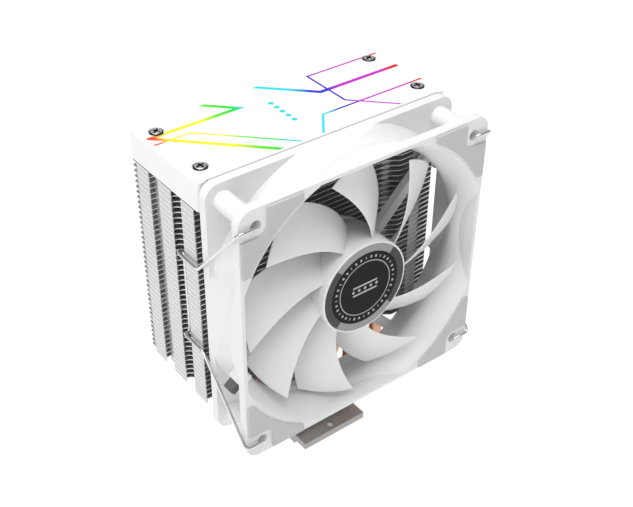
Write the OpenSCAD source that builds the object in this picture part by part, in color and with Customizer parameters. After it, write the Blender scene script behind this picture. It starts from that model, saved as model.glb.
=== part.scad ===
// White tower cooler: finned stack on four heat pipes, one 120 mm fan, lit top cover.
// Frame: Z up from the contact face, the fan faces -Y, X across the tower, all in mm.

/* [Tower] */
// Width of the fins and the cover, along X
tower_w = 120; // [100:1:144]
// Depth of the fins and the cover, along Y
tower_d = 48.8; // [40:0.2:60]
// Height of the lowest fin above the contact face
fin_floor = 50; // [42:1:60]
// Number of fins
fin_count = 39; // [30:1:46]
// Distance from one fin to the next
fin_pitch = 2.5; // [2:0.1:3.2]
// Thickness of one fin
fin_t = 0.4; // [0.3:0.05:0.6]

/* [Cover] */
// Height of the top cover
cover_h = 13; // [11:0.5:16]
// Thickness of the cover's walls
cover_wall = 1.8; // [1.4:0.1:2.4]

/* [Heat pipes and base] */
// Outer radius of the four heat pipes
pipe_r = 3; // [2.5:0.25:4]
// Distance from the front and rear edges of the fins to the nearest pipe's axis
pipe_edge = 7.4; // [6.5:0.1:9]
// X of the legs of the two outer pipes
outer_leg_x = 35; // [33:0.5:44]
// X of the legs of the two inner pipes
inner_leg_x = 29; // [28:0.5:38]
// Width of the base, along X
base_w = 34.2; // [28:0.2:40]
// Wall of the base outside the first and last pipe, along Y
base_side = 3.8; // [3:0.1:6]
// How far each base flange stands out along Y
base_flange = 8.3; // [7:0.1:12]
// Radius of the two holes in the base flanges
base_hole_r = 1.65; // [1.5:0.05:2.2]

/* [Fan] */
// Side of the square fan frame
fan_size = 120; // [100:1:144]
// Depth of the fan frame
fan_depth = 25; // [22:1:30]
// Distance from the edges of the fan to its screw holes
fan_hole_inset = 7.5; // [6.5:0.1:8.5]
// Radius of the fan screw holes
fan_hole_r = 2.4; // [2:0.1:2.8]
// Number of blades
blade_count = 9; // [7:1:11]
// Radius of the rotor hub
hub_r = 21.2; // [17.5:0.1:25.5]
// Gap between the blade tips and the duct
tip_gap = 1.6; // [1:0.1:3]

/* [Hidden] */
$fn = 64;
e = 0.01;
cover_z = fin_floor + fin_pitch * (fin_count - 1) + 1;    // underside of the cover
cover_top = cover_z + cover_h;
stack_top = cover_z - 0.6;                                // top face of the top fin
half_w = tower_w / 2;
half_d = tower_d / 2;
pad_t = 0.9;                                              // rubber pads on both fan faces
fan_y = -half_d - pad_t - fan_depth;                      // front face of the fan frame
fan_z = cover_top - fan_size / 2;                         // fan axis height
half_f = fan_size / 2;
hole_x = half_f - fan_hole_inset;
flange_t = 4.1;                                           // the two square flanges of the fan
duct_r = half_f - 3;                                      // narrowest part of the fan's duct
mouth_r = half_f + 3;                                     // its front and rear mouths, cut off by the rim
duct_wall = 2.2;
rim = 1.6;                                                // wall left at the middle of each side
corner_r = 6;                                             // corners of the fan
pipe_pitch = (tower_d - 2 * pipe_edge) / 3;
pipe_y = [-1.5 * pipe_pitch, -0.5 * pipe_pitch, 0.5 * pipe_pitch, 1.5 * pipe_pitch];
base_d = tower_d - 2 * (pipe_edge - pipe_r - base_side);
leg_x = [outer_leg_x, inner_leg_x, inner_leg_x, outer_leg_x];
pipe_z = 7;                                               // pipe axis in the base
pipe_top = stack_top + 3.4;                               // pipes end inside the cover
shaft_r = 1.5;
wire_r = 0.7;
wire_x = max(half_w, half_f) + 1.1;                       // fan clip wire beside the fins and the fan
groove_y = -8.25;                                         // groove that takes the clip
groove_r = 3.55;
hook_z = 20.6;                                            // the clip leaves the groove here
screw_x = half_w - 7.2;
screw_y = half_d - 8.7;

// ---- shared shapes ----

module rounded_square(s, r) {
  union() {
    square([s, s - 2 * r], center = true);
    square([s - 2 * r, s], center = true);
    for (x = [-1, 1], y = [-1, 1]) translate([x * (s / 2 - r), y * (s / 2 - r)]) circle(r);
  }
}

// a box centred in X and Y, standing on z
module block(w, d, z, h) {
  translate([-w / 2, -d / 2, z]) cube([w, d, h]);
}

// fan pieces are drawn with their axis along Z, front face at 0, the rear below it
module place_fan() {
  translate([0, fan_y, fan_z]) rotate([90, 0, 0]) children();
}

function flip(points) = [for (i = [len(points) - 1:-1:0]) [-points[i][0], points[i][1]]];

// ---- fins ----

// right half of a fin's outline, from the middle of the front edge to the back
side_half = concat(
  [[0, -half_d + 3.4], [outer_leg_x - 2, -half_d + 3.4], [outer_leg_x + 3, -half_d], [half_w - 10, -half_d]],
  [[half_w - 8.6, -half_d + 2], [half_w - 6, -half_d + 3.4], [half_w, -half_d + 3.8]],
  [[half_w, 4.7], [half_w - 2.2, 4.7], [half_w - 2.2, 11.8], [half_w, 11.8]],
  [[half_w, half_d - 0.8], [half_w - 0.8, half_d]],
  [[outer_leg_x + 3, half_d], [outer_leg_x - 2, half_d - 3.4], [0, half_d - 3.4]]);

module fin_outline() {
  difference() {
    polygon(concat(side_half, flip(side_half)));
    for (s = [-1, 1]) {
      translate([s * half_w, groove_y]) circle(groove_r);
      for (i = [0:3]) translate([s * leg_x[i], pipe_y[i]]) circle(pipe_r + 0.02, $fn = 32);
    }
  }
}

// edges folded down towards the fin below: x, y, size along x and y
side_tabs = [
  [half_w - fin_t, -half_d + 3.8, fin_t, half_d - 3.8 + groove_y - groove_r],
  [half_w - fin_t, groove_y + groove_r, fin_t, 4.7 - groove_y - groove_r],
  [half_w - 2.2 - fin_t, 4.7, fin_t, 7.1],
  [half_w - fin_t, 11.8, fin_t, half_d - 3.8 - 11.8],
  [half_w - 15, -half_d, 5, fin_t],
  [half_w - 15, half_d - fin_t, 5, fin_t]];

module one_fin() {
  drop = fin_pitch - fin_t - 0.1;
  union() {
    linear_extrude(fin_t) fin_outline();
    for (t = side_tabs) {
      translate([t[0], t[1], -drop]) cube([t[2], t[3], drop + e]);
      translate([-t[0] - t[2], t[1], -drop]) cube([t[2], t[3], drop + e]);
    }
  }
}

module fin_stack() color([0.84, 0.85, 0.86]) {
  for (k = [0:fin_count - 1]) translate([0, 0, fin_floor + k * fin_pitch]) one_fin();
}

// ---- heat pipes and base ----

// U pipe: both legs up through the fins, joined by a straight run in the base
module u_pipe(i) {
  bend = leg_x[i] - base_w / 2 - 1;
  translate([0, pipe_y[i], 0]) union() {
    for (s = [-1, 1]) {
      translate([s * leg_x[i], 0, pipe_z + bend]) cylinder(r = pipe_r, h = pipe_top - pipe_z - bend, $fn = 32);
      translate([s * leg_x[i], 0, pipe_top]) cylinder(r1 = pipe_r, r2 = 1, h = 2.2, $fn = 32);
    }
    translate([-base_w / 2 - 1, 0, pipe_z]) rotate([0, 90, 0]) cylinder(r = pipe_r, h = base_w + 2, $fn = 32);
    translate([base_w / 2 + 1, 0, pipe_z + bend]) rotate([90, 0, 0])
      rotate([0, 0, -90]) rotate_extrude(angle = 90) translate([bend, 0]) circle(pipe_r, $fn = 32);
    translate([-base_w / 2 - 1, 0, pipe_z + bend]) rotate([90, 0, 0])
      rotate([0, 0, 180]) rotate_extrude(angle = 90) translate([bend, 0]) circle(pipe_r, $fn = 32);
  }
}

module heatpipe_1() color([0.78, 0.45, 0.3]) u_pipe(0);
module heatpipe_2() color([0.78, 0.45, 0.3]) u_pipe(1);
module heatpipe_3() color([0.78, 0.45, 0.3]) u_pipe(2);
module heatpipe_4() color([0.78, 0.45, 0.3]) u_pipe(3);

module pipe_grooves() {
  for (y = pipe_y) translate([-base_w, y, pipe_z]) rotate([0, 90, 0])
    cylinder(r = pipe_r + 0.02, h = 2 * base_w, $fn = 32);
}

plate_d = base_d - 8;    // copper plate set into the underside
plate_w = base_w - 6;

// extruded lower half of the base with its two screw flanges
module base_block() color([0.72, 0.72, 0.71]) {
  b = base_d / 2;
  f = b + base_flange;
  difference() {
    translate([-base_w / 2, 0, 0]) rotate([90, 0, 90]) linear_extrude(base_w) polygon([
      [-b, 0], [b, 0], [b, 2.6], [f, 2.6], [f, 6], [b + 1, 6], [b, pipe_z],
      [-b, pipe_z], [-b - 1, 6], [-f, 6], [-f, 2.6], [-b, 2.6]]);
    pipe_grooves();
    block(plate_w + 0.1, plate_d + 0.1, -1, 2.25);
    for (s = [-1, 1]) translate([0, s * (f - 3.5), 0]) cylinder(r = base_hole_r, h = 10);
    base_screw_places() translate([0, 0, 2]) cylinder(r = 1.3, h = 10, $fn = 24);
  }
}

module base_screw_places() {
  for (x = [-1, 1], y = [-1, 1]) translate([x * (base_w / 2 - 5), y * pipe_pitch, 0]) children();
}

// upper half, clamped down over the pipes
module base_clamp() color([0.7, 0.7, 0.7]) {
  b = base_d / 2 - 1.6;
  difference() {
    translate([-base_w / 2, 0, 0]) rotate([90, 0, 90]) linear_extrude(base_w) polygon([
      [-b, pipe_z], [b, pipe_z], [b, 11.5], [b - 1.5, 13], [-b + 1.5, 13], [-b, 11.5]]);
    pipe_grooves();
    for (y = [-2.5, 0, 2.5]) translate([-base_w, y - 0.5, 11.8]) cube([2 * base_w, 1, 3]);
    base_screw_places() translate([0, 0, 6]) cylinder(r = 1.6, h = 10, $fn = 24);
  }
}

module base_screws() color([0.6, 0.6, 0.62]) {
  base_screw_places() difference() {
    union() {
      translate([0, 0, 3]) cylinder(r = 1.28, h = 10.2, $fn = 24);
      translate([0, 0, 13]) cylinder(r = 2.6, h = 1.6, $fn = 32);
    }
    translate([0, 0, 13.8]) for (a = [0, 90]) rotate([0, 0, a]) translate([-1.5, -0.3, 0]) cube([3, 0.6, 2]);
  }
}

module cold_plate() color([0.8, 0.48, 0.33]) block(plate_w, plate_d, 0, 1.2);

// ---- lit top cover ----

// inlaid lines on the cover: points, width; the diagonals run out past the edges and are trimmed
line_top = half_d - 1.2;
line_end = half_w - 1.4;
far = half_d + 2;
function run_out(p, lean, side) = [p[0] + lean * (far - side * p[1]), side * far];
light_lines = [
  [[run_out([-17, 12.4], -1, 1), [-17, 12.4], [2.6 - half_w, 12.4], run_out([2.6 - half_w, 12.4], 1, -1)], 1.9],
  [[[-half_w, 7.1], [-42.6, 7.1], run_out([-42.6, 7.1], 1, -1)], 0.9],
  [[run_out([17.4, 3.8], -1, 1), [17.4, 3.8], [half_w, 3.8]], 1.9],
  [[[half_w, 18], [21.2, 18], [21.2, -7.4], run_out([21.2, -7.4], 1, -1)], 0.9],
  [[[half_w, -11.6], [6.8, -11.6], run_out([6.8, -11.6], -0.75, -1)], 0.9]];
// plain row of small lozenges in the middle of the cover
mark_y = [-8, -4, 0, 4, 8];
mark_x = -4.5;

inner_w = tower_w - 2 * cover_wall - 0.6;
inner_d = tower_d - 2 * cover_wall - 0.6;
under_top = cover_top - cover_wall;     // underside of the cover's top wall

function unit(v) = v / norm(v);
function left_of(v) = [-v[1], v[0]];
// point i of a path moved w to its left, mitred at the corners
function mitred(path, i, w) =
  let (last = len(path) - 1,
       before = left_of(unit(path[max(i, 1)] - path[max(i, 1) - 1])),
       after = left_of(unit(path[min(i + 1, last)] - path[min(i, last - 1)])),
       middle = unit(before + after))
  path[i] + middle * w / (middle * before);
function stroke(path, w) = concat(
  [for (i = [0:len(path) - 1]) mitred(path, i, w / 2)],
  [for (i = [len(path) - 1:-1:0]) mitred(path, i, -w / 2)]);

module line_shapes(grow) {
  intersection() {
    union() for (l = light_lines) polygon(stroke(l[0], l[1] + grow));
    square([2 * line_end + grow, 2 * line_top + grow], center = true);
  }
  for (y = mark_y) translate([mark_x, y]) rotate(45) square(2 + grow, center = true);
}

// a box with bevelled upper edges and rounded corners seen from above
module cover_shape(w, d, z, h, bevel) {
  intersection() {
    translate([-w / 2, 0, z]) rotate([90, 0, 90]) linear_extrude(w) polygon([
      [-d / 2, 0], [d / 2, 0], [d / 2, h - bevel], [d / 2 - bevel, h],
      [-d / 2 + bevel, h], [-d / 2, h - bevel]]);
    translate([0, d / 2, z]) rotate([90, 0, 0]) linear_extrude(d) polygon([
      [-w / 2, 0], [w / 2, 0], [w / 2, h - bevel], [w / 2 - bevel, h],
      [-w / 2 + bevel, h], [-w / 2, h - bevel]]);
    translate([0, 0, z]) linear_extrude(h) union() {
      square([w, d - 3], center = true);
      square([w - 3, d], center = true);
      for (x = [-1, 1], y = [-1, 1]) translate([x * (w / 2 - 1.5), y * (d / 2 - 1.5)]) circle(1.5, $fn = 32);
    }
  }
}

module cover_screw_places() {
  for (x = [-1, 1], y = [-1, 1]) translate([x * screw_x, y * screw_y, 0]) children();
}

module top_cover() color([0.96, 0.96, 0.96]) {
  difference() {
    cover_shape(tower_w, tower_d, cover_z, cover_h, 0.8);
    block(tower_w - 2 * cover_wall, tower_d - 2 * cover_wall, cover_z - 1, cover_h + 1 - cover_wall);
    translate([0, 0, under_top - 0.6]) linear_extrude(5) line_shapes(0.1);
    cover_screw_places() {
      translate([0, 0, cover_top - 4]) cylinder(r = 1.7, h = 5, $fn = 32);
      translate([0, 0, cover_top - 0.8]) cylinder(r = 3.2, h = 2);
    }
  }
}

module cover_screws() color([0.25, 0.25, 0.27]) {
  cover_screw_places() difference() {
    union() {
      translate([0, 0, cover_top - 8]) cylinder(r = 1.3, h = 8, $fn = 32);
      translate([0, 0, cover_top - 0.8]) cylinder(r = 2.8, h = 0.7);
      translate([0, 0, cover_top - 0.1]) cylinder(r1 = 2.8, r2 = 1.9, h = 0.7);
    }
    for (a = [0, 90]) rotate([0, 0, a + 20]) translate([-1.6, -0.35, cover_top - 0.6]) cube([3.2, 0.7, 3]);
  }
}

board_z = under_top - 4.6;

// tray pressed over the pipe ends, with a screw post at each corner
module cover_carrier() color([0.9, 0.9, 0.9]) {
  difference() {
    union() {
      block(inner_w, inner_d, stack_top + e, 1.6);
      cover_screw_places() translate([0, 0, stack_top + e]) cylinder(r = 3.1, h = under_top - stack_top - e);
      // stands for the light board
      for (x = [-20, 0, 20]) translate([x, 0, stack_top + e]) cylinder(r = 2, h = board_z - stack_top - 2 * e, $fn = 32);
    }
    for (s = [-1, 1], i = [0:3]) translate([s * leg_x[i], pipe_y[i], stack_top - 1])
      cylinder(r = pipe_r + 0.05, h = 5, $fn = 32);
    cover_screw_places() translate([0, 0, cover_top - 8.5]) cylinder(r = 1.32, h = 12, $fn = 32);
  }
}

module light_guide() color([0.75, 0.9, 0.95]) {
  difference() {
    union() {
      block(inner_w - 1, inner_d - 1, under_top - 1.3, 1.28);
      translate([0, 0, under_top - 0.5]) linear_extrude(cover_wall + 0.5) line_shapes(0);
    }
    cover_screw_places() translate([0, 0, under_top - 4]) cylinder(r = 3.4, h = 8);
  }
}

module led_board() color([0.1, 0.25, 0.15]) {
  difference() {
    block(inner_w - 1, inner_d - 1, board_z, 1.2);
    cover_screw_places() translate([0, 0, board_z - 1]) cylinder(r = 3.4, h = 8);
  }
}

module led_chips() color([0.95, 0.95, 0.85]) {
  for (x = [-40:16:40], y = [-12, 0, 12]) translate([x, y, 0]) block(3.5, 2.8, board_z + 1.2, 1.4);
}

// ---- fan frame and motor ----

seat_r = hub_r - 0.8;    // disc that carries the motor

module fan_strut() {
  rotate(8) translate([hub_r - 1.2, 0]) rotate(37) translate([-1, -2.2]) square([half_f, 4.4]);
}

// inside of the duct: radius and depth from the front to the rear
mouth_curve = [[0, 0], [0.9, 1.4], [2.2, 4.1], [4.1, 7.6], [5.2, 9.5]];
bore_side = concat(
  [for (p = mouth_curve) [mouth_r - p[0], -p[1]]],
  [[duct_r, -fan_depth / 2 + 0.6], [duct_r, -fan_depth / 2 - 0.6]],
  [for (i = [len(mouth_curve) - 1:-1:0]) [mouth_r - mouth_curve[i][0], mouth_curve[i][1] - fan_depth]]);

module duct_bore() {
  intersection() {
    rotate_extrude($fn = 96) polygon(concat(
      [[0, 1], [mouth_r, 1]], bore_side, [[mouth_r, -fan_depth - 1], [0, -fan_depth - 1]]));
    block(2 * (half_f - rim), 2 * (half_f - rim), -fan_depth - 2, fan_depth + 4);
  }
}

// outside of the duct: follows the inside and is cut flush with the flanges
module duct_shell() {
  intersection() {
    rotate_extrude($fn = 96) polygon(concat(
      [[0, 0]], [for (p = bore_side) [p[0] + duct_wall, p[1]]], [[0, -fan_depth]]));
    block(fan_size, fan_size, -fan_depth, fan_depth);
  }
}

// stub of the motor's lead, low on the left side of the duct; g is the gap left round it
module lead_shape(g) {
  translate([5.5 - half_f, -20.9, fan_depth / -2]) rotate(220) translate([-g, -g, -g])
    cube([9.6 + 2 * g, 3 + 2 * g, 5 + 2 * g]);
}

module lead_stub() color([0.35, 0.35, 0.35]) place_fan() lead_shape(0);

module fan_frame() color([0.93, 0.93, 0.93]) place_fan() {
  difference() {
    union() {
      translate([0, 0, -flange_t]) linear_extrude(flange_t) rounded_square(fan_size, corner_r);
      translate([0, 0, -fan_depth]) linear_extrude(flange_t) rounded_square(fan_size, corner_r);
      duct_shell();
      for (x = [-1, 1], y = [-1, 1]) translate([x * hole_x, y * hole_x, -fan_depth])
        cylinder(r = fan_hole_r + 1.7, h = fan_depth);
    }
    duct_bore();
    for (x = [-1, 1], y = [-1, 1]) translate([x * hole_x, y * hole_x, -fan_depth - 1])
      cylinder(r = fan_hole_r, h = fan_depth + 2, $fn = 32);
    lead_shape(0.02);
  }
  // motor seat, bearing tube and four slanted struts
  difference() {
    union() {
      translate([0, 0, -fan_depth]) cylinder(r = seat_r, h = 2.4);
      translate([0, 0, -fan_depth]) cylinder(r = 4.3, h = 18, $fn = 32);
      difference() {
        translate([0, 0, -fan_depth]) linear_extrude(3.4) intersection() {
          for (a = [0:90:270]) rotate(a) fan_strut();
          circle(mouth_r + 1, $fn = 96);
        }
        translate([0, 0, -fan_depth + 2.4]) cylinder(r = seat_r - 1.4, h = 4);
      }
    }
    translate([0, 0, 0.8 - fan_depth]) cylinder(r = 3.26, h = 30, $fn = 32);
  }
}

// rubber corner pads: the corner of the frame less the duct circle and the screw corner
module pad_shape() {
  difference() {
    intersection() {
      rounded_square(fan_size - 1.6, 5.2);
      translate([32, 32]) square(half_f);
    }
    circle(mouth_r + 1.5, $fn = 96);
    // clear corner round the screw hole, its inner corner rounded
    translate([hole_x - 4.6, hole_x - 1.2]) square(20);
    translate([hole_x - 1.2, hole_x - 4.6]) square(20);
    translate([hole_x - 1.2, hole_x - 1.2]) circle(3.4);
  }
}

module corner_pads(z) {
  for (a = [0:90:270]) rotate(a) translate([0, 0, z]) linear_extrude(pad_t) pad_shape();
}

module front_pads() color([0.78, 0.78, 0.78]) place_fan() corner_pads(0);
module rear_pads() color([0.78, 0.78, 0.78]) place_fan() corner_pads(-fan_depth - pad_t);

module fan_circuit_board() color([0.1, 0.3, 0.18]) place_fan() {
  translate([0, 0, 2.41 - fan_depth]) difference() {
    cylinder(r = seat_r - 2.9, h = 1.2);
    translate([0, 0, -1]) cylinder(r = 4.5, h = 4, $fn = 32);
  }
}

stator_r = hub_r - 5.4;
stator_z = 8.5 - fan_depth;    // rear of the core

module stator_core() color([0.5, 0.5, 0.52]) place_fan() {
  translate([0, 0, stator_z]) difference() {
    union() {
      cylinder(r = 7, h = 6);
      for (a = [0:90:270]) rotate(a) translate([0, -2, 0]) cube([stator_r - 1.8, 4, 6]);
      for (a = [0:90:270]) intersection() {
        difference() {
          cylinder(r = stator_r, h = 6);
          translate([0, 0, -1]) cylinder(r = stator_r - 2.2, h = 8);
        }
        rotate(a) translate([0, -9, 0]) cube([20, 18, 6]);
      }
    }
    translate([0, 0, -1]) cylinder(r = 4.32, h = 8, $fn = 32);
  }
}

module stator_coils() color([0.75, 0.4, 0.2]) place_fan() {
  for (a = [0:90:270]) rotate(a) translate([7.6, 0, stator_z]) difference() {
    translate([0, -4.2, -1.5]) cube([stator_r - 10.95, 8.4, 9]);
    translate([-1, -2.1, -0.1]) cube([20, 4.2, 6.2]);
  }
}

bearing_z = 3.3 - fan_depth;

module sleeve_bearing() color([0.75, 0.6, 0.3]) place_fan() {
  translate([0, 0, bearing_z]) difference() {
    cylinder(r = 3.24, h = 14, $fn = 32);
    translate([0, 0, -1]) cylinder(r = shaft_r + 0.04, h = 20, $fn = 32);
  }
}

// ---- rotor ----

// blade shape: angle and depth of a point, by radius r and by s from front to rear edge
tip_r = duct_r - tip_gap;
function reach(r) = (r - hub_r) / (tip_r - hub_r);
function front_angle(r) = 76 + 41 * reach(r) - 10 * reach(r) * reach(r);
function span_angle(r) = 29 - 4.8 * reach(r) + 4 * reach(r) * (1 - reach(r));
function blade_angle(r, s) = front_angle(r) - span_angle(r) * s;
function blade_depth(r, s) = -(4.2 - reach(r)) - (11 - 2.2 * reach(r)) * (0.85 * s + 0.15 * s * s);
function blade_half_t(r, s) = (0.75 - 0.25 * reach(r)) * (0.35 + 2.6 * s * (1 - s));
function blade_point(r, s, side) = [
  r * cos(blade_angle(r, s)), r * sin(blade_angle(r, s)), blade_depth(r, s) + side * blade_half_t(r, s)];

rows = 8;      // steps from the hub to the tip
cols = 6;      // steps from the front edge to the rear edge
function row_r(i) = hub_r - 1 + (tip_r - hub_r + 1) * i / rows;
function blade_grid(side) = [for (i = [0:rows], j = [0:cols]) blade_point(row_r(i), j / cols, side)];
function at(i, j) = i * (cols + 1) + j;
function quad(a, b, c, d) = [[a, c, b], [a, d, c]];
grid_size = (rows + 1) * (cols + 1);
blade_faces = [
  for (i = [0:rows - 1], j = [0:cols - 1])
    each quad(at(i, j), at(i, j + 1), at(i + 1, j + 1), at(i + 1, j)),
  for (i = [0:rows - 1], j = [0:cols - 1])
    each quad(grid_size + at(i, j), grid_size + at(i + 1, j), grid_size + at(i + 1, j + 1), grid_size + at(i, j + 1)),
  for (i = [0:rows - 1])
    each quad(at(i, 0), at(i + 1, 0), grid_size + at(i + 1, 0), grid_size + at(i, 0)),
  for (i = [0:rows - 1])
    each quad(at(i, cols), grid_size + at(i, cols), grid_size + at(i + 1, cols), at(i + 1, cols)),
  for (j = [0:cols - 1])
    each quad(at(0, j), grid_size + at(0, j), grid_size + at(0, j + 1), at(0, j + 1)),
  for (j = [0:cols - 1])
    each quad(at(rows, j), at(rows, j + 1), grid_size + at(rows, j + 1), grid_size + at(rows, j))];

module blade() {
  polyhedron(concat(blade_grid(1), blade_grid(-1)), blade_faces, convexity = 4);
}

hub_front = -1.2;
hub_rear = 4.4 - fan_depth;

module rotor() color([0.95, 0.95, 0.95]) place_fan() {
  for (k = [0:blade_count - 1]) rotate(k * 360 / blade_count) blade();
  rotate_extrude() polygon([
    [shaft_r + 0.01, -3.1], [hub_r - 1.6, -3.1], [hub_r - 1.6, hub_rear], [hub_r, hub_rear],
    [hub_r, hub_front - 0.6], [hub_r - 0.5, hub_front], [hub_r - 0.9, hub_front],
    [hub_r - 0.9, hub_front - 0.4], [shaft_r + 0.01, hub_front - 0.4]]);
}

module hub_label() color([0.1, 0.1, 0.1]) place_fan() {
  translate([0, 0, hub_front - 0.4]) cylinder(r = hub_r - 4.3, h = 0.35);
}

// printed ring around the label
module hub_label_ring() color([0.6, 0.6, 0.6]) place_fan() {
  translate([0, 0, hub_front - 0.4]) difference() {
    cylinder(r = hub_r - 0.95, h = 0.38);
    translate([0, 0, -1]) cylinder(r = hub_r - 4.25, h = 3);
  }
}

module rotor_yoke() color([0.5, 0.5, 0.52]) place_fan() {
  translate([0, 0, hub_rear + 0.8]) difference() {
    cylinder(r = hub_r - 1.62, h = -hub_rear - 4);
    translate([0, 0, -1]) cylinder(r = hub_r - 2.4, h = -hub_rear - 3.8);
    cylinder(r = 5, h = 30);
  }
}

module magnet_ring() color([0.2, 0.2, 0.22]) place_fan() {
  translate([0, 0, hub_rear + 2.2]) difference() {
    cylinder(r = hub_r - 2.42, h = 11);
    translate([0, 0, -1]) cylinder(r = hub_r - 4.6, h = 13);
  }
}

module rotor_shaft() color([0.7, 0.7, 0.72]) place_fan() {
  z = bearing_z;
  rotate_extrude($fn = 32) polygon([
    [0, z - 1.9], [shaft_r - 0.3, z - 1.9], [shaft_r, z - 1.6], [shaft_r, z - 0.9], [shaft_r - 0.4, z - 0.9],
    [shaft_r - 0.4, z - 0.4], [shaft_r, z - 0.4], [shaft_r, -1.65], [0, -1.65]]);
}

module shaft_clip() color([0.3, 0.3, 0.32]) place_fan() {
  translate([0, 0, bearing_z - 0.85]) difference() {
    cylinder(r = 2.5, h = 0.4, $fn = 32);
    translate([0, 0, -1]) cylinder(r = shaft_r - 0.38, h = 3, $fn = 32);
    translate([0, -0.7, -1]) cube([4, 1.4, 3]);
  }
}

// ---- wire clips that hold the fan ----

// upper arm of the right wire, from the groove to the screw hole, z from the fan's axis
hook_y = fan_y - 1.2;
bend_r = 2.5;        // how far from a corner the wire starts to bend
arm_r = wire_r - 0.02;
wire_sides = 10;
groove_x = half_w - 1.8;
arm_path = [
  [groove_x, groove_y, hook_z - bend_r - 1], [groove_x, groove_y, hook_z], [wire_x, groove_y, hook_z],
  [wire_x, fan_y + fan_depth + 2.6, hook_z], [wire_x, hook_y, hole_x], [hole_x - 0.4, hook_y, hole_x]];

// a corner as a short curve, then the whole path
function bend_points(p, before, after) =
  let (u = unit(before - p) * min(bend_r, 0.45 * norm(before - p)),
       v = unit(after - p) * min(bend_r, 0.45 * norm(after - p)))
  [for (t = [0:0.2:1]) p + u * (1 - t) * (1 - t) + v * t * t];
arm_line = concat(
  [arm_path[0]],
  [for (i = [1:len(arm_path) - 2]) each bend_points(arm_path[i], arm_path[i - 1], arm_path[i + 1])],
  [arm_path[len(arm_path) - 1]]);
arm_last = len(arm_line) - 1;

function along(i) = unit(arm_line[min(i + 1, arm_last)] - arm_line[max(i - 1, 0)]);
// side vector of each ring: the one before it, turned square to the wire
function square_to(v, t) = unit(v - (v * t) * t);
function ring_sides(i, v) = i > arm_last ? []
  : let (w = square_to(v, along(i))) concat([w], ring_sides(i + 1, w));
arm_side = ring_sides(0, [1, 0, 0]);
arm_points = [for (i = [0:arm_last], k = [0:wire_sides - 1])
  let (a = 360 * k / wire_sides, u = arm_side[i], v = cross(along(i), u))
  arm_line[i] + arm_r * (cos(a) * u + sin(a) * v)];
arm_faces = concat(
  [[for (k = [0:wire_sides - 1]) k]],
  [for (i = [0:arm_last - 1], k = [0:wire_sides - 1])
    let (n = (k + 1) % wire_sides, a = i * wire_sides, b = a + wire_sides)
    each [[a + k, b + n, a + n], [a + k, b + k, b + n]]],
  [[for (k = [wire_sides - 1:-1:0]) arm_last * wire_sides + k]]);

module fan_clip() {
  translate([0, 0, fan_z]) union() {
    translate([groove_x, groove_y, bend_r - hook_z]) cylinder(r = wire_r, h = 2 * (hook_z - bend_r), $fn = 32);
    polyhedron(arm_points, arm_faces);
    mirror([0, 0, 1]) polyhedron(arm_points, arm_faces);
  }
}

module left_fan_clip() color([0.8, 0.8, 0.82]) mirror([1, 0, 0]) fan_clip();
module right_fan_clip() color([0.8, 0.8, 0.82]) fan_clip();

fin_stack();
heatpipe_1();
heatpipe_2();
heatpipe_3();
heatpipe_4();
base_block();
base_clamp();
base_screws();
cold_plate();
top_cover();
cover_screws();
cover_carrier();
light_guide();
led_board();
led_chips();
fan_frame();
front_pads();
rear_pads();
fan_circuit_board();
stator_core();
stator_coils();
sleeve_bearing();
rotor();
hub_label();
hub_label_ring();
rotor_yoke();
magnet_ring();
rotor_shaft();
shaft_clip();
lead_stub();
left_fan_clip();
right_fan_clip();
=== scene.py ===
import math

import bmesh
import bpy
from mathutils import Matrix, Vector


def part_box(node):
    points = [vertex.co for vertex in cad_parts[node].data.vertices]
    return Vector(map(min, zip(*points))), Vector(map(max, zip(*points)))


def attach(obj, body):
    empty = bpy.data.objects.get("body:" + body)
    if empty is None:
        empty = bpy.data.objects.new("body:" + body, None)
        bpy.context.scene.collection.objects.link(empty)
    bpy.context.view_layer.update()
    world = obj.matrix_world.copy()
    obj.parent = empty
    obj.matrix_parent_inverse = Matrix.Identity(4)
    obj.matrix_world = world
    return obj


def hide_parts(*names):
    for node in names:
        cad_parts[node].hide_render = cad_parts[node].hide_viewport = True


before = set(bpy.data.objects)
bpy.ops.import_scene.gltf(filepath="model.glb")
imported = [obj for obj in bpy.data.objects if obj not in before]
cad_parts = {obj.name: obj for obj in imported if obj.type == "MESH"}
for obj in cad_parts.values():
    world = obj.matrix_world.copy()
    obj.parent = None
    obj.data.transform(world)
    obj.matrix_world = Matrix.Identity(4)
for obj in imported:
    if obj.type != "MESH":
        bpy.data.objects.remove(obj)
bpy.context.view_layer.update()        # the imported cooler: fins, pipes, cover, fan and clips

mm = 0.001

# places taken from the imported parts
fanLow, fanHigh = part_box("fan_frame")
fanCentre = Vector(((fanLow.x + fanHigh.x) / 2, fanLow.y, (fanLow.z + fanHigh.z) / 2))
coverLow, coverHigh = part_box("top_cover")

# the fins in mm: height of the lowest one, distance from one to the next, thickness of the sheet
finSpacing = {"lowest": 50, "pitch": 2.5, "sheet": 0.4, "count": 39}

# points nearer than this are one point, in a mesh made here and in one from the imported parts
joinWithin = 0.001 * mm
weldWithin = 0.002 * mm
sharpAngle = math.radians(38)        # edges that turn further than this are rounded


# mesh helpers
def makeMesh(name, points, faces, smooth=True):
    mesh = bpy.data.meshes.new(name)
    mesh.from_pydata([tuple(p) for p in points], [], faces)
    mesh.validate()
    obj = bpy.data.objects.new(name, mesh)
    bpy.context.scene.collection.objects.link(obj)
    if smooth:
        mesh.polygons.foreach_set("use_smooth", [True] * len(mesh.polygons))
    return obj


# a closed mesh, with doubled points joined and all its faces turned outwards
def makeClosed(name, points, faces, smooth=True):
    obj = makeMesh(name, points, faces, smooth)
    bm = bmesh.new()
    bm.from_mesh(obj.data)
    bmesh.ops.remove_doubles(bm, verts=bm.verts, dist=joinWithin)
    bmesh.ops.recalc_face_normals(bm, faces=bm.faces)
    bm.to_mesh(obj.data)
    bm.free()
    return obj


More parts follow.
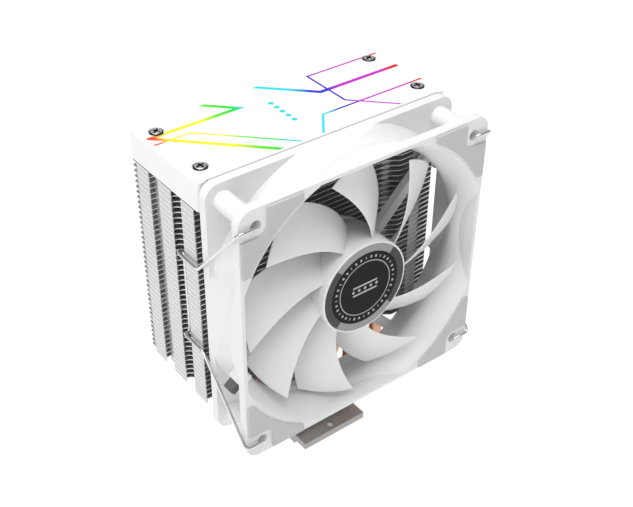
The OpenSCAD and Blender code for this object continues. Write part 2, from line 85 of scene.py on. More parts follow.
# a block from its eight corners, listed with the last direction changing fastest
def makeBlock(name, corners):
    faces = [(0, 1, 3, 2), (4, 6, 7, 5), (0, 4, 5, 1), (2, 3, 7, 6), (0, 2, 6, 4), (1, 5, 7, 3)]
    return makeClosed(name, corners, faces, smooth=False)


# directions of evenly spaced points on a circle
def circle(steps, turn=0):
    angles = [turn + 2 * math.pi * k / steps for k in range(steps)]
    return [(math.cos(a), math.sin(a)) for a in angles]


# faces between a ring of n points and the ring that follows it
def bandFaces(start, n):
    return [(start + k, start + (k + 1) % n, start + n + (k + 1) % n, start + n + k) for k in range(n)]


# a place given in mm from the fan's axis, and in mm behind its front face
def fanPoint(x, z, depth):
    return fanCentre.x + x * mm, fanCentre.y + depth * mm, fanCentre.z + z * mm


# a closed outline of (radius, depth) turned about the fan's axis
def turnAboutFan(name, outline, steps=128):
    n = len(outline)
    points = [fanPoint(r * x, r * z, depth) for x, z in circle(steps) for r, depth in outline]
    faces = []
    for i in range(steps):
        here, there = i * n, (i + 1) % steps * n
        faces += [(here + k, here + (k + 1) % n, there + (k + 1) % n, there + k) for k in range(n)]
    return makeClosed(name, points, faces)


def roundEdges(obj, width, segments):
    bevel = obj.modifiers.new("edges", "BEVEL")
    bevel.width = width * mm
    bevel.segments = segments
    bevel.limit_method = "ANGLE"
    bevel.angle_limit = sharpAngle


def finishPiece(obj, material, body, replaced=()):
    obj.data.materials.clear()
    obj.data.materials.append(material)
    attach(obj, body)
    if replaced:
        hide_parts(*replaced)
    return obj


# shader helpers; feed gives a socket a fixed value or a link from another node
def feed(tree, socket, value):
    if isinstance(value, bpy.types.NodeSocket):
        tree.links.new(value, socket)
    else:
        socket.default_value = value


def calculate(tree, kind, operation, *values):
    node = tree.nodes.new(kind)
    node.operation = operation
    for socket, value in zip(node.inputs, values):
        feed(tree, socket, value)
    return node.outputs[0]


def objectPlace(tree):
    return tree.nodes.new("ShaderNodeTexCoord").outputs["Object"]


def splitPlace(tree, place):
    parts = tree.nodes.new("ShaderNodeSeparateXYZ")
    feed(tree, parts.inputs[0], place)
    return parts.outputs


def noiseValue(tree, place, scale, detail):
    noise = tree.nodes.new("ShaderNodeTexNoise")
    noise.inputs["Detail"].default_value = detail
    feed(tree, noise.inputs["Vector"], place)
    feed(tree, noise.inputs["Scale"], scale)
    return noise.outputs["Fac"]


# a node group with its named inputs and their usual values, and its named outputs
def startGroup(name, inputs, outputs):
    group = bpy.data.node_groups.new(name, "ShaderNodeTree")
    for label, value in inputs.items():
        kind = "NodeSocketVector" if isinstance(value, tuple) else "NodeSocketFloat"
        group.interface.new_socket(label, in_out="INPUT", socket_type=kind).default_value = value
    for label in outputs:
        group.interface.new_socket(label, in_out="OUTPUT", socket_type="NodeSocketFloat")
    start = group.nodes.new("NodeGroupInput")
    end = group.nodes.new("NodeGroupOutput")
    return group, start.outputs, end.inputs


# fine moulded or cast surface: height of the grain and a slow change in gloss
def buildGrainGroup():
    usual = {"Grain Size": 900.0, "Cloud Size": 60.0, "Roughness": 0.4, "Roughness Change": 0.08}
    group, given, result = startGroup("mouldedGrain", usual, ["Height", "Roughness", "Cloud"])
    place = objectPlace(group)
    grain = noiseValue(group, place, given["Grain Size"], 3)
    cloud = noiseValue(group, place, given["Cloud Size"], 2)
    centred = calculate(group, "ShaderNodeMath", "SUBTRACT", cloud, 0.5)
    roughness = calculate(group, "ShaderNodeMath", "MULTIPLY_ADD", centred, given["Roughness Change"],
                          given["Roughness"])
    feed(group, result["Height"], grain)
    feed(group, result["Roughness"], roughness)
    feed(group, result["Cloud"], cloud)
    return group


# long fine lines left by rolling, drawing or brushing
def buildBrushGroup():
    usual = {"Stretch": (20.0, 2000.0, 2000.0), "Roughness": 0.3, "Roughness Change": 0.12}
    group, given, result = startGroup("drawnLines", usual, ["Lines", "Roughness"])
    stretched = calculate(group, "ShaderNodeVectorMath", "MULTIPLY", objectPlace(group), given["Stretch"])
    lines = noiseValue(group, stretched, 1, 4)
    roughness = calculate(group, "ShaderNodeMath", "MULTIPLY_ADD", lines, given["Roughness Change"],
                          given["Roughness"])
    feed(group, result["Lines"], lines)
    feed(group, result["Roughness"], roughness)
    return group


grainGroup = buildGrainGroup()
brushGroup = buildBrushGroup()
print("shader groups built")


def startMaterial(name, settings):
    material = bpy.data.materials.new(name)
    material.use_nodes = True
    tree = material.node_tree
    shader = tree.nodes["Principled BSDF"]
    for socket, value in settings.items():
        shader.inputs[socket].default_value = value
    return material, tree, shader


def placeGroup(tree, group, values):
    node = tree.nodes.new("ShaderNodeGroup")
    node.node_tree = group
    for socket, value in values.items():
        node.inputs[socket].default_value = value
    return node.outputs


# numbers of the sockets that a Mix node uses for colours
mixSockets = {"factor": 0, "first": 6, "second": 7, "result": 2}


def mixColours(tree, factor, first, second):
    mix = tree.nodes.new("ShaderNodeMix")
    mix.data_type = "RGBA"
    feed(tree, mix.inputs[mixSockets["factor"]], factor)
    for place, colour in (("first", first), ("second", second)):
        feed(tree, mix.inputs[mixSockets[place]], (*colour, 1) if isinstance(colour, tuple) else colour)
    return mix.outputs[mixSockets["result"]]


def addBump(tree, shader, height, strength, depth):
    bump = tree.nodes.new("ShaderNodeBump")
    bump.inputs["Strength"].default_value = strength
    bump.inputs["Distance"].default_value = depth * mm
    feed(tree, bump.inputs["Height"], height)
    feed(tree, shader.inputs["Normal"], bump.outputs["Normal"])


# how deep the grain and the drawn lines are at full strength, in mm
bumpDepth = {"grain": 0.05, "lines": 0.03}


def plasticMaterial(name, look):
    material, tree, shader = startMaterial(name, look.get("shader", {}))
    grain = placeGroup(tree, grainGroup, {"Grain Size": look["grainSize"], "Roughness": look["roughness"]})
    colour = mixColours(tree, grain["Cloud"], look["colour"], look["colourTwo"])
    feed(tree, shader.inputs["Base Color"], colour)
    feed(tree, shader.inputs["Roughness"], grain["Roughness"])
    addBump(tree, shader, grain["Height"], look["bump"], bumpDepth["grain"])
    return material


# painted highlight: the fold at the level of every fin is painted in a lighter colour than the tab below
# it, standing for the light it catches; it starts a little below the sheet, in mm, and takes up a share of
# the distance to the next fin
foldHighlightLook = {"below": 0.1, "share": 0.2}


def finFoldHighlightMask(tree):
    height = splitPlace(tree, objectPlace(tree))["Z"]
    foldFrom = (finSpacing["lowest"] - foldHighlightLook["below"]) * mm
    above = calculate(tree, "ShaderNodeMath", "SUBTRACT", height, foldFrom)
    inFins = calculate(tree, "ShaderNodeMath", "DIVIDE", above, finSpacing["pitch"] * mm)
    share = calculate(tree, "ShaderNodeMath", "FRACT", inFins)
    return calculate(tree, "ShaderNodeMath", "LESS_THAN", share, foldHighlightLook["share"])


def metalMaterial(name, look):
    material, tree, shader = startMaterial(name, {"Metallic": look.get("metallic", 1.0)})
    brush = placeGroup(tree, brushGroup, {"Stretch": look["stretch"], "Roughness": look["roughness"]})
    colour = mixColours(tree, brush["Lines"], look["colour"], look["colourTwo"])
    # painted highlight on the fold of every fin, laid over the metal's own colour
    if "foldHighlight" in look:
        colour = mixColours(tree, finFoldHighlightMask(tree), colour, look["foldHighlight"])
    feed(tree, shader.inputs["Base Color"], colour)
    feed(tree, shader.inputs["Roughness"], brush["Roughness"])
    addBump(tree, shader, brush["Lines"], look["bump"], bumpDepth["lines"])
    return material


# what each plastic, rubber and print looks like; grainSize is finer when it is larger
plastics = {
    "coverWhite": {"colour": (0.87, 0.87, 0.87), "colourTwo": (0.90, 0.90, 0.90), "roughness": 0.34,
                   "grainSize": 1600, "bump": 0.06},
    "frameWhite": {"colour": (0.80, 0.80, 0.80), "colourTwo": (0.86, 0.86, 0.86), "roughness": 0.42,
                   "grainSize": 1400, "bump": 0.10},
    "bladeWhite": {"colour": (0.80, 0.80, 0.80), "colourTwo": (0.86, 0.86, 0.86), "roughness": 0.36,
                   "grainSize": 1500, "bump": 0.05,
                   "shader": {"Subsurface Weight": 0.12, "Subsurface Radius": (0.004, 0.004, 0.004)}},
    "padGrey": {"colour": (0.52, 0.52, 0.52), "colourTwo": (0.60, 0.60, 0.60), "roughness": 0.75,
                "grainSize": 2200, "bump": 0.22},
    "boardGreen": {"colour": (0.02, 0.09, 0.045), "colourTwo": (0.03, 0.14, 0.07), "roughness": 0.35,
                   "grainSize": 700, "bump": 0.1},
    "lampResin": {"colour": (0.85, 0.85, 0.7), "colourTwo": (0.95, 0.95, 0.85), "roughness": 0.3,
                  "grainSize": 900, "bump": 0.05},
    "labelBlack": {"colour": (0.010, 0.010, 0.010), "colourTwo": (0.014, 0.014, 0.014), "roughness": 0.6,
                   "grainSize": 1200, "bump": 0.05, "shader": {"Specular IOR Level": 0.12}},
    "printGrey": {"colour": (0.42, 0.42, 0.42), "colourTwo": (0.50, 0.50, 0.50), "roughness": 0.5,
                  "grainSize": 1800, "bump": 0.05},
    # the grey of the gap strip is painted shade for the gap between the cover and the fan
    "gapShadeGrey": {"colour": (0.26, 0.26, 0.26), "colourTwo": (0.32, 0.32, 0.32), "roughness": 0.9,
                 "grainSize": 2500, "bump": 0.3},
    "leadGrey": {"colour": (0.10, 0.10, 0.10), "colourTwo": (0.14, 0.14, 0.14), "roughness": 0.6,
                 "grainSize": 1500, "bump": 0.15},
    "magnetBlack": {"colour": (0.02, 0.02, 0.022), "colourTwo": (0.05, 0.05, 0.055), "roughness": 0.6,
                    "grainSize": 1000, "bump": 0.2}}

# what each metal looks like; its lines run along the direction in which stretch is smallest
metals = {
    # finMetal's fold colour is a painted highlight, lighter than the metal itself
    "finMetal": {"colour": (0.54, 0.54, 0.54), "colourTwo": (0.68, 0.68, 0.68), "foldHighlight": (0.86, 0.86, 0.86),
                 "roughness": 0.36, "stretch": (40, 3000, 1500), "bump": 0.08, "metallic": 0.85},
    "pipeCopper": {"colour": (0.52, 0.27, 0.16), "colourTwo": (0.70, 0.42, 0.30), "roughness": 0.22,
                   "stretch": (700, 700, 60), "bump": 0.08},
    "baseMetal": {"colour": (0.33, 0.325, 0.32), "colourTwo": (0.44, 0.43, 0.425), "roughness": 0.3,
                  "stretch": (30, 2500, 2500), "bump": 0.12},
    # screwPaintedGlint is a painted reflection colour for the tops of the black screw domes
    "screwPaintedGlint": {"colour": (0.84, 0.84, 0.84), "colourTwo": (0.92, 0.92, 0.92), "roughness": 0.2,
                    "stretch": (900, 900, 200), "bump": 0.03},
    "screwBlack": {"colour": (0.03, 0.03, 0.032), "colourTwo": (0.06, 0.06, 0.062), "roughness": 0.22,
                   "stretch": (900, 900, 200), "bump": 0.03},
    "screwSteel": {"colour": (0.45, 0.45, 0.46), "colourTwo": (0.6, 0.6, 0.61), "roughness": 0.25,
                   "stretch": (900, 900, 100), "bump": 0.05},
    "clipSteel": {"colour": (0.66, 0.66, 0.665), "colourTwo": (0.8, 0.8, 0.8), "roughness": 0.06,
                  "stretch": (500, 500, 500), "bump": 0.02},
    "coreSteel": {"colour": (0.3, 0.3, 0.31), "colourTwo": (0.42, 0.42, 0.43), "roughness": 0.35,
                  "stretch": (300, 4000, 300), "bump": 0.15},
    "coilCopper": {"colour": (0.5, 0.2, 0.08), "colourTwo": (0.72, 0.33, 0.15), "roughness": 0.28,
                   "stretch": (300, 5000, 300), "bump": 0.3},
    "bearingBrass": {"colour": (0.5, 0.36, 0.14), "colourTwo": (0.66, 0.5, 0.24), "roughness": 0.4,
                     "stretch": (2500, 2500, 2500), "bump": 0.2}}
made = {name: plasticMaterial(name, look) for name, look in plastics.items()}
made.update({name: metalMaterial(name, look) for name, look in metals.items()})

# colours of the lit lines, by distance in mm from the middle of the cover, out to half its width
lineLook = {"half": 60, "colours": [
    (-60, (0.95, 0.01, 0.0)), (-56, (1.0, 0.08, 0.0)), (-52, (1.0, 0.88, 0.0)), (-35, (1.0, 0.95, 0.0)),
    (-28, (0.15, 0.85, 0.0)), (-20, (0.0, 0.78, 0.03)), (-14, (0.0, 0.72, 0.75)), (8, (0.0, 0.80, 0.85)),
    (14, (0.0, 0.01, 0.70)), (21, (0.03, 0.0, 0.66)), (27, (0.60, 0.0, 0.62)), (49, (0.66, 0.0, 0.60)),
    (54, (0.72, 0.0, 0.02)), (60, (0.72, 0.0, 0.0))]}


def lightLineMaterial():
    settings = {"Base Color": (0.02, 0.02, 0.02, 1), "Roughness": 0.3, "Specular IOR Level": 0.15,
                "Emission Strength": 1.0}
    material, tree, shader = startMaterial("lightLines", settings)
    half = lineLook["half"]
    along = tree.nodes.new("ShaderNodeMapRange")
    along.inputs["From Min"].default_value = -half * mm
    along.inputs["From Max"].default_value = half * mm
    feed(tree, along.inputs["Value"], splitPlace(tree, objectPlace(tree))["X"])
    ramp = tree.nodes.new("ShaderNodeValToRGB")
    elements = ramp.color_ramp.elements
    elements.remove(elements[1])
    for i, (x, colour) in enumerate(lineLook["colours"]):
        share = (x + half) / (2 * half)
        element = elements[0] if i == 0 else elements.new(share)
        element.position = share
        element.color = (*colour, 1)
    feed(tree, ramp.inputs[0], along.outputs[0])
    feed(tree, shader.inputs["Emission Color"], ramp.outputs["Color"])
    return material


# grey ring of the hub label with painted light and shade: painted lighter above and below, painted darker
# at the sides
ringShadeLook = {"light": (0.33, 0.33, 0.33), "dark": (0.055, 0.055, 0.055)}


def labelRingMaterial():
    material, tree, shader = startMaterial("labelRing", {"Roughness": 0.5, "Specular IOR Level": 0.25})
    kind = "ShaderNodeVectorMath"
    fromAxis = calculate(tree, kind, "SUBTRACT", objectPlace(tree), tuple(fanCentre))
    parts = splitPlace(tree, calculate(tree, kind, "ABSOLUTE", fromAxis))
    # mask for the painted shade at the sides of the ring; the rest gets the painted highlight colour
    shadedSides = calculate(tree, "ShaderNodeMath", "GREATER_THAN", parts["X"], parts["Z"])
    feed(tree, shader.inputs["Base Color"], mixColours(tree, shadedSides, ringShadeLook["light"], ringShadeLook["dark"]))
    return material


made["lightLines"] = lightLineMaterial()
made["labelRing"] = labelRingMaterial()

materialNodes = {
    "finMetal": ["fin_stack"], "coverWhite": ["top_cover"], "lightLines": ["light_guide"],
    "pipeCopper": ["heatpipe_1", "heatpipe_2", "heatpipe_3", "heatpipe_4", "cold_plate"],
    "baseMetal": ["base_block", "base_clamp"], "screwSteel": ["base_screws", "rotor_shaft"],
    "screwBlack": ["cover_screws", "shaft_clip"], "frameWhite": ["cover_carrier", "fan_frame"],
    "boardGreen": ["led_board", "fan_circuit_board"], "lampResin": ["led_chips"],
    "padGrey": ["front_pads", "rear_pads"], "leadGrey": ["lead_stub"],
    "coreSteel": ["stator_core", "rotor_yoke"], "coilCopper": ["stator_coils"],
    "bearingBrass": ["sleeve_bearing"], "magnetBlack": ["magnet_ring"], "bladeWhite": ["rotor"],
    "labelBlack": ["hub_label"], "labelRing": ["hub_label_ring"],
    "clipSteel": ["left_fan_clip", "right_fan_clip"]}
for material, nodes in materialNodes.items():
    for node in nodes:
        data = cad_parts[node].data
        data.materials.clear()
        data.materials.append(made[material])
print("materials placed on", sum(len(nodes) for nodes in materialNodes.values()), "nodes")

# rotor blades; turn, span, front, fall and half are curves from the hub to the tip: the value at the hub,
# then what is added in step with the way to the tip, then with its square
bladeLook = {"count": 9, "rows": 22, "across": 20, "turn": (76, 41, -10), "span": (29, -0.8, -4),
             "front": (4.2, -1), "fall": (11, -2.2), "half": (0.75, -0.25), "edge": 0.35, "belly": 2.6,
             "bow": 0.15, "nose": 0.012, "noseEnd": 0.016, "noseSide": 0.55, "root": 1, "tipRound": 0.35,
             "tip": [(0.1, 0.8), (0, 0.45)]}
hubLook = {"bore": 1.5, "wall": 1.6, "face": 1.9, "front": 1.2, "rear": 20.6, "rim": 0.9, "dish": 0.4,
           "shoulder": [(0, 0.6), (0.06, 0.35), (0.2, 0.13), (0.42, 0)], "rimEdge": 0.12, "yokeGap": 0.02}
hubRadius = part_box("rotor_yoke")[1].x / mm + hubLook["wall"] + hubLook["yokeGap"]
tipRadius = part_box("rotor")[1].x / mm


def alongBlade(curve, reach):
    return sum(value * reach ** power for power, value in enumerate(bladeLook[curve]))


# one point of a blade: radius, share of the way from its front edge to its rear edge, side of the sheet,
# and how much of its thickness is left there
def bladePoint(turn, r, share, side, thin):
    reach = (r - hubRadius) / (tipRadius - hubRadius)
    a = math.radians(turn + alongBlade("turn", reach) - alongBlade("span", reach) * share)
    middle = min(max(share, 0), 1)
    belly = bladeLook["edge"] + bladeLook["belly"] * middle * (1 - middle)
    half = alongBlade("half", reach) * belly * thin
    fall = (1 - bladeLook["bow"]) * share + bladeLook["bow"] * share ** 2
    depth = alongBlade("front", reach) + alongBlade("fall", reach) * fall - side * half
    return fanPoint(r * math.cos(a), r * math.sin(a), depth)


# the section of a blade as a closed loop with rounded ends
def bladeLoop():
    n, nose, end, side = (bladeLook[key] for key in ("across", "nose", "noseEnd", "noseSide"))
    front = [(i / n, 1) for i in range(n + 1)]
    rear = [(share, -1) for share, _ in reversed(front)]
    return [(-nose, side), *front, (1 + nose, side), (1 + end, 0), (1 + nose, -side), *rear,
            (-nose, -side), (-end, 0)]


def buildBlades():
    points, faces = [], []
    loop = bladeLoop()
    n, rows = len(loop), bladeLook["rows"]
    inner = hubRadius - bladeLook["root"]
    outer = tipRadius - bladeLook["tipRound"]
    sections = [(inner + (outer - inner) * i / rows, 1) for i in range(rows + 1)]
    sections += [(tipRadius - inset, thin) for inset, thin in bladeLook["tip"]]
    for blade in range(bladeLook["count"]):
        start = len(points)
        turn = blade * 360 / bladeLook["count"]
        for r, thin in sections:
            points += [bladePoint(turn, r, share, side, thin) for share, side in loop]
        for i in range(len(sections) - 1):
            faces += bandFaces(start + i * n, n)
        for end in (start, start + (len(sections) - 1) * n):
            for j in range(n // 2 - 1):
                faces.append((end + (j - 1) % n, end + j, end + n - 3 - j, end + n - 2 - j))
    return makeClosed("rotorBlades", points, faces)


# the hub's cup: a wall behind a front face, with a soft shoulder and a raised rim round the label
def buildHub():
    look = hubLook
    bore, rear, front = look["bore"], look["rear"], look["front"]
    inside, rim = hubRadius - look["wall"], hubRadius - look["rim"]
    face, dish, edge = front + look["face"], front + look["dish"], look["rimEdge"]
    shoulder = [(hubRadius - r, front + depth) for r, depth in look["shoulder"]]
    outline = [(bore, face), (inside, face), (inside, rear), (hubRadius, rear), *shoulder,
               (rim + edge, front), (rim, front + edge), (rim, dish), (bore, dish)]
    return turnAboutFan("rotorHub", outline)


for piece in (buildBlades(), buildHub()):
    finishPiece(piece, made["bladeWhite"], "rotor", ["rotor"])
print("rotor built")

# print on the hub label, in mm about the fan's axis and behind its front face
printLook = {"ring": (12.6, 13.0), "dashes": 36, "dashFrom": 14.2, "dashTo": 15.3, "dashWide": 1.7,
             "shortDash": 0.45, "bars": [(-6.2, 1.5, 6.2, 2.3), (-6.2, -2.3, 6.2, -1.5)],
             "marks": (-6, -3, 0, 3, 6), "markSize": 0.85, "depths": (1.21, 1.26)}


def addFlat(points, faces, outline):
    start, n = len(points), len(outline)
    for depth in printLook["depths"]:
        points += [fanPoint(x, z, depth) for x, z in outline]
    faces.append(tuple(range(start, start + n)))
    faces.append(tuple(range(start + 2 * n - 1, start + n - 1, -1)))
    faces += bandFaces(start, n)


def onLabel(r, degrees):
    return r * math.cos(math.radians(degrees)), r * math.sin(math.radians(degrees))


# a circle of dashes, every third one short, and a row of lozenges between two bars
def buildLabelMarks():
    points, faces = [], []
    low, high = printLook["dashFrom"], printLook["dashTo"]
    for i in range(printLook["dashes"]):
        a = i * 360 / printLook["dashes"]
        w = printLook["dashWide"] * (1 if i % 3 else printLook["shortDash"])
        corners = ((low, a - w), (high, a - w), (high, a + w), (low, a + w))
        addFlat(points, faces, [onLabel(r, degrees) for r, degrees in corners])
    for x0, z0, x1, z1 in printLook["bars"]:
        addFlat(points, faces, [(x0, z0), (x1, z0), (x1, z1), (x0, z1)])
    s = printLook["markSize"]
    for x in printLook["marks"]:
        addFlat(points, faces, [(x - s, 0), (x, -s), (x + s, 0), (x, s)])
    return makeClosed("labelMarks", points, faces, smooth=False)


def buildThinRing():
    low, high = printLook["ring"]
    front, back = printLook["depths"]
    return turnAboutFan("labelThinRing", [(low, front), (high, front), (high, back), (low, back)])


for piece in (buildLabelMarks(), buildThinRing()):
    finishPiece(piece, made["printGrey"], "rotor")
print("label print built")

# cover screws: domed heads with cross recesses; slot is half the width of a recess at the top, wall and
# end say how far its sides and ends slope, and shallow is how much of its depth is lost at the ends
# glintAbove, in mm above the cover, and glintSlope pick the faces that get the painted reflection
screwLook = {"radius": 2.8, "shank": 1.3, "edge": 0.75, "rise": 0.75, "dome": 2.6, "slot": 0.44,
             "wall": 0.14, "reach": 1.9, "end": 0.35, "deep": 1.1, "shallow": 0.45,
             "turns": (12, 35, -8, 22), "rings": 26, "steps": 96, "glintAbove": 0.32, "glintSlope": 0.8}


# height of a head's surface above its edge at a place on it
def headHeight(x, y):
    look = screwLook
    r = math.hypot(x, y) / look["radius"]
    top = look["rise"] * math.sqrt(max(0, 1 - r ** look["dome"]))
    cut = 0
    for along, across in ((abs(x), abs(y)), (abs(y), abs(x))):
        inside = min((look["slot"] - across) / look["wall"], (look["reach"] - along) / look["end"], 1)
        cut = max(cut, inside * look["deep"] * (1 - look["shallow"] * along / look["reach"]))
    return top - cut


def buildScrews():
    low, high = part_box("cover_screws")
    look = screwLook
    edgeZ = high.z - look["rise"] * mm
    underHead = edgeZ - look["edge"] * mm
    inset = look["radius"] * mm
    places = [(x, y) for x in (low.x + inset, high.x - inset) for y in (low.y + inset, high.y - inset)]
    n, rings = look["steps"], look["rings"]
    points, faces = [], []
    for (cx, cy), turn in zip(places, look["turns"]):
        start = len(points)
        points.append((cx, cy, edgeZ + headHeight(0, 0) * mm))
        turned = circle(n, math.radians(turn))
        for i in range(1, rings + 1):
            r = look["radius"] * math.sin(math.pi / 2 * i / rings)
            for (x, y), (tx, ty) in zip(circle(n), turned):
                points.append((cx + r * mm * tx, cy + r * mm * ty, edgeZ + headHeight(r * x, r * y) * mm))
        for r, z in ((look["radius"], underHead), (look["shank"], underHead), (look["shank"], low.z)):
            points += [(cx + r * mm * x, cy + r * mm * y, z) for x, y in circle(n)]
        faces += [(start, start + 1 + k, start + 1 + (k + 1) % n) for k in range(n)]
        for i in range(rings + 2):
            faces += bandFaces(start + 1 + i * n, n)
        last = start + 1 + (rings + 2) * n
        faces.append(tuple(range(last, last + n)))
    return makeClosed("coverScrewHeads", points, faces)


# painted reflection and shade: upward faces high on the domes get a bright metal standing for reflected
# light, while the recesses and rims keep the black screw metal, which in the recesses also stands for
# their shade
screws = finishPiece(buildScrews(), made["screwPaintedGlint"], "cooler", ["cover_screws"])
screws.data.materials.append(made["screwBlack"])
paintedGlintFrom = coverHigh.z + screwLook["glintAbove"] * mm
for face in screws.data.polygons:
    if face.normal.z < screwLook["glintSlope"] or face.center.z < paintedGlintFrom:
        face.material_index = 1
print("cover screws built")

# fan clips: bent round wire; path is the upper half of the right clip in mm, with z from the fan's centre:
# the groove in the fins, out past them, forward along them, up to the fan's front corner, and the hook
wireLook = {"radius": 0.7, "chamfer": 0.2, "bend": 2.5, "bendShare": 0.45, "sides": 20, "curve": 8,
            "path": [(58.2, -8.25, 20.6), (61.1, -8.25, 20.6), (61.1, -22.7, 20.6), (61.1, -51.5, 52.5),
                     (52.1, -51.5, 52.5)]}


def clipCorners(sign):
    upper = wireLook["path"]
    whole = [(x, y, -z) for x, y, z in reversed(upper)] + upper
    return [Vector((sign * x * mm, y * mm, z * mm + fanCentre.z)) for x, y, z in whole]


# a line through the corners, with each bend rounded
def bentLine(corners):
    line = [corners[0]]
    for before, corner, after in zip(corners, corners[1:], corners[2:]):
        legs = []
        for leg in (before - corner, after - corner):
            reach = min(wireLook["bend"] * mm, wireLook["bendShare"] * leg.length)
            legs.append(leg.normalized() * reach)
        for i in range(wireLook["curve"] + 1):
            t = i / wireLook["curve"]
            line.append(corner + legs[0] * (1 - t) ** 2 + legs[1] * t ** 2)
    return line + [corners[-1]]


# round wire along a line, with a small chamfer at both ends
def sweepWire(name, line):
    n, radius, chamfer = wireLook["sides"], wireLook["radius"] * mm, wireLook["chamfer"] * mm
    last = len(line) - 1
    points, faces = [], []
    up = Vector((0, 0, 1))
    for i, p in enumerate(line):
        ahead = (line[min(i + 1, last)] - line[max(i - 1, 0)]).normalized()
        up = (up - ahead * up.dot(ahead)).normalized()
        side = ahead.cross(up)
        rings = [(p, radius)]
        if i == 0:
            rings = [(p, radius - chamfer), (p + ahead * chamfer, radius)]
        elif i == last:
            rings = [(p - ahead * chamfer, radius), (p, radius - chamfer)]
        for centre, r in rings:
            points += [centre + (up * x + side * y) * r for x, y in circle(n)]
    for start in range(0, len(points) - n, n):
        faces += bandFaces(start, n)
    faces += [tuple(range(n)), tuple(range(len(points) - n, len(points)))]
    return makeClosed(name, points, faces)


for sign, side in ((-1, "left"), (1, "right")):
    wire = sweepWire(side + "Wire", bentLine(clipCorners(sign)))
    finishPiece(wire, made["clipSteel"], side + "_clip", [side + "_fan_clip"])
print("clips built")

# collars drawn up round the pipes from every fin but the top one, in mm; flare is (added radius, height)
collarLook = {"outer": 3.28, "pipe": 3.0, "length": 2.0, "flare": [(0.35, 0), (0.08, 0.12), (0, 0.4)],
              "steps": 28}


def buildCollars():
    look, n = collarLook, collarLook["steps"]
    profile = [(look["outer"] + more, height) for more, height in look["flare"]]
    profile += [(look["outer"], look["length"]), (look["pipe"], look["length"])]
    points, faces = [], []
    for i in (1, 2, 3, 4):
        low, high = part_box("heatpipe_%d" % i)
        y = (low.y + high.y) / 2
        for x in (low.x + look["pipe"] * mm, high.x - look["pipe"] * mm):
            for fin in range(finSpacing["count"] - 1):
                z = (finSpacing["lowest"] + fin * finSpacing["pitch"] + finSpacing["sheet"]) * mm
                start = len(points)
                for r, height in profile:
                    points += [(x + r * mm * cx, y + r * mm * cy, z + height * mm) for cx, cy in circle(n)]
                for ring in range(len(profile) - 1):
                    faces += bandFaces(start + ring * n, n)
    return makeMesh("finCollars", points, faces)


finishPiece(buildCollars(), made["finMetal"], "cooler")
print("fin collars built")

# moulded collar where the motor's lead leaves the duct: along and across the lead in mm, from the place
# where it enters the wall; the lead slopes down to the left
bossLook = {"start": (-54.5, -20.9), "slope": 220, "along": (-0.5, 5.2), "across": (-0.9, 3.9),
            "depth": (6.4, 13.6), "edge": 0.8, "segments": 3}


def buildBoss():
    x0, z0 = bossLook["start"]
    slope = math.radians(bossLook["slope"])
    c, s = math.cos(slope), math.sin(slope)
    corners = [fanPoint(x0 + u * c - v * s, z0 + u * s + v * c, depth)
               for u in bossLook["along"] for v in bossLook["across"] for depth in bossLook["depth"]]
    boss = makeBlock("leadCollar", corners)
    roundEdges(boss, bossLook["edge"], bossLook["segments"])
    return boss


finishPiece(buildBoss(), made["frameWhite"], "cooler")
print("lead collar built")

# painted shade: a thin dark grey strip set in the gap between the cover and the fan, standing for the
# shade inside the gap
gapShadeStripLook = {"half": 56, "top": 0.25, "height": 2.2, "gap": 0.1}


def buildGapShadeStrip():
    gap = gapShadeStripLook["gap"] * mm
    top = coverHigh.z - gapShadeStripLook["top"] * mm
    corners = [(x * mm, y, z) for x in (-gapShadeStripLook["half"], gapShadeStripLook["half"])
               for y in (fanHigh.y + gap, coverLow.y - gap) for z in (top - gapShadeStripLook["height"] * mm, top)]
    return makeBlock("gapShadeStrip", corners)


finishPiece(buildGapShadeStrip(), made["gapShadeGrey"], "cooler")
# the strip named in this print is the painted shade strip in the gap
print("foam strip built")

# how far the edges of the moulded and machined pieces are rounded, in mm
edgeLook = {"fan_frame": 0.35, "top_cover": 0.3, "base_block": 0.2, "base_clamp": 0.25, "front_pads": 0.2,
            "rear_pads": 0.2}
edgeSegments = 2
for node, width in edgeLook.items():
    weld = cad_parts[node].modifiers.new("weld", "WELD")
    weld.merge_threshold = weldWithin
    roundEdges(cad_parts[node], width, edgeSegments)
print("edges rounded on", len(edgeLook), "nodes")

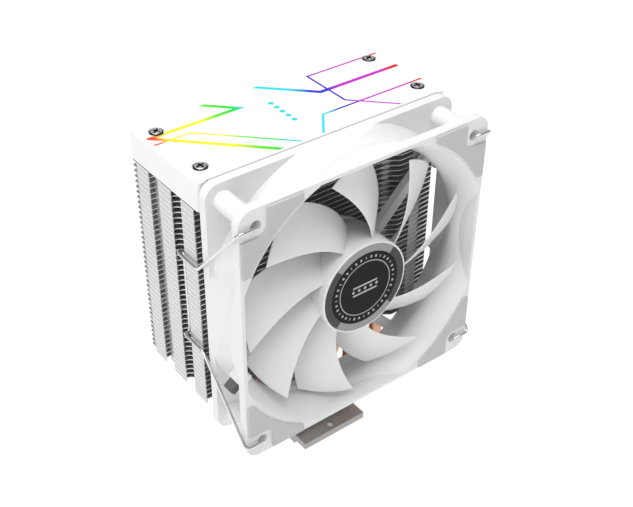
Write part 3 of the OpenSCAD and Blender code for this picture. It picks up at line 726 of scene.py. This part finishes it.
cameraLook = {"place": (-0.2243, -0.3071, 0.3665), "towards": (0.4930, 0.6376, -0.5920), "roll": 0.54,
              "lens": 61.43, "sensor": 36, "nearest": 0.01}
camera = bpy.data.objects.new("camera", bpy.data.cameras.new("camera"))
camera.data.lens = cameraLook["lens"]
camera.data.sensor_width = cameraLook["sensor"]
camera.data.clip_start = cameraLook["nearest"]
camera.location = cameraLook["place"]
turn = Vector(cameraLook["towards"]).to_track_quat("-Z", "Y").to_matrix().to_4x4()
turn = turn @ Matrix.Rotation(math.radians(cameraLook["roll"]), 4, "Z")
camera.rotation_euler = turn.to_euler()
bpy.context.scene.collection.objects.link(camera)
bpy.context.scene.camera = camera

# pale floor that gives off soft light, half its side in metres, a little below the contact face
floorLook = {"half": 24, "below": 0.2, "shader": {
    "Base Color": (0.2, 0.2, 0.2, 1), "Roughness": 0.9, "Specular IOR Level": 0.0,
    "Emission Color": (1, 1, 1, 1), "Emission Strength": 0.93}}
half = floorLook["half"]
floor = makeMesh("floor", [(-half, -half, 0), (half, -half, 0), (half, half, 0), (-half, half, 0)],
                 [(0, 1, 2, 3)])
floor.data.materials.append(startMaterial("paleFloor", floorLook["shader"])[0])
floor.location.z = -floorLook["below"] * mm

worldLook = {"Color": (1, 1, 1, 1), "Strength": 0.4}
world = bpy.data.worlds.new("studio")
world.use_nodes = True
for socket, value in worldLook.items():
    world.node_tree.nodes["Background"].inputs[socket].default_value = value
bpy.context.scene.world = world
bpy.context.scene.view_settings.view_transform = "Standard"

# soft square lamps, in metres and watts, all turned to the middle of the tower
lampLook = {"topLamp": {"place": (-0.15, -0.08, 1.2), "size": 0.9, "power": 11},
            "leftLamp": {"place": (-1.2, -0.3, 0.6), "size": 0.8, "power": 3.0}}
towerMiddle = Vector((0, 0, 0.08))


def addLamp(name, look):
    lamp = bpy.data.lights.new(name, "AREA")
    lamp.shape = "SQUARE"
    lamp.size = look["size"]
    lamp.energy = look["power"]
    obj = bpy.data.objects.new(name, lamp)
    obj.location = look["place"]
    obj.rotation_euler = (towerMiddle - Vector(look["place"])).to_track_quat("-Z", "Y").to_euler()
    bpy.context.scene.collection.objects.link(obj)


for name, look in lampLook.items():
    addLamp(name, look)
print("camera, floor and lamps set")
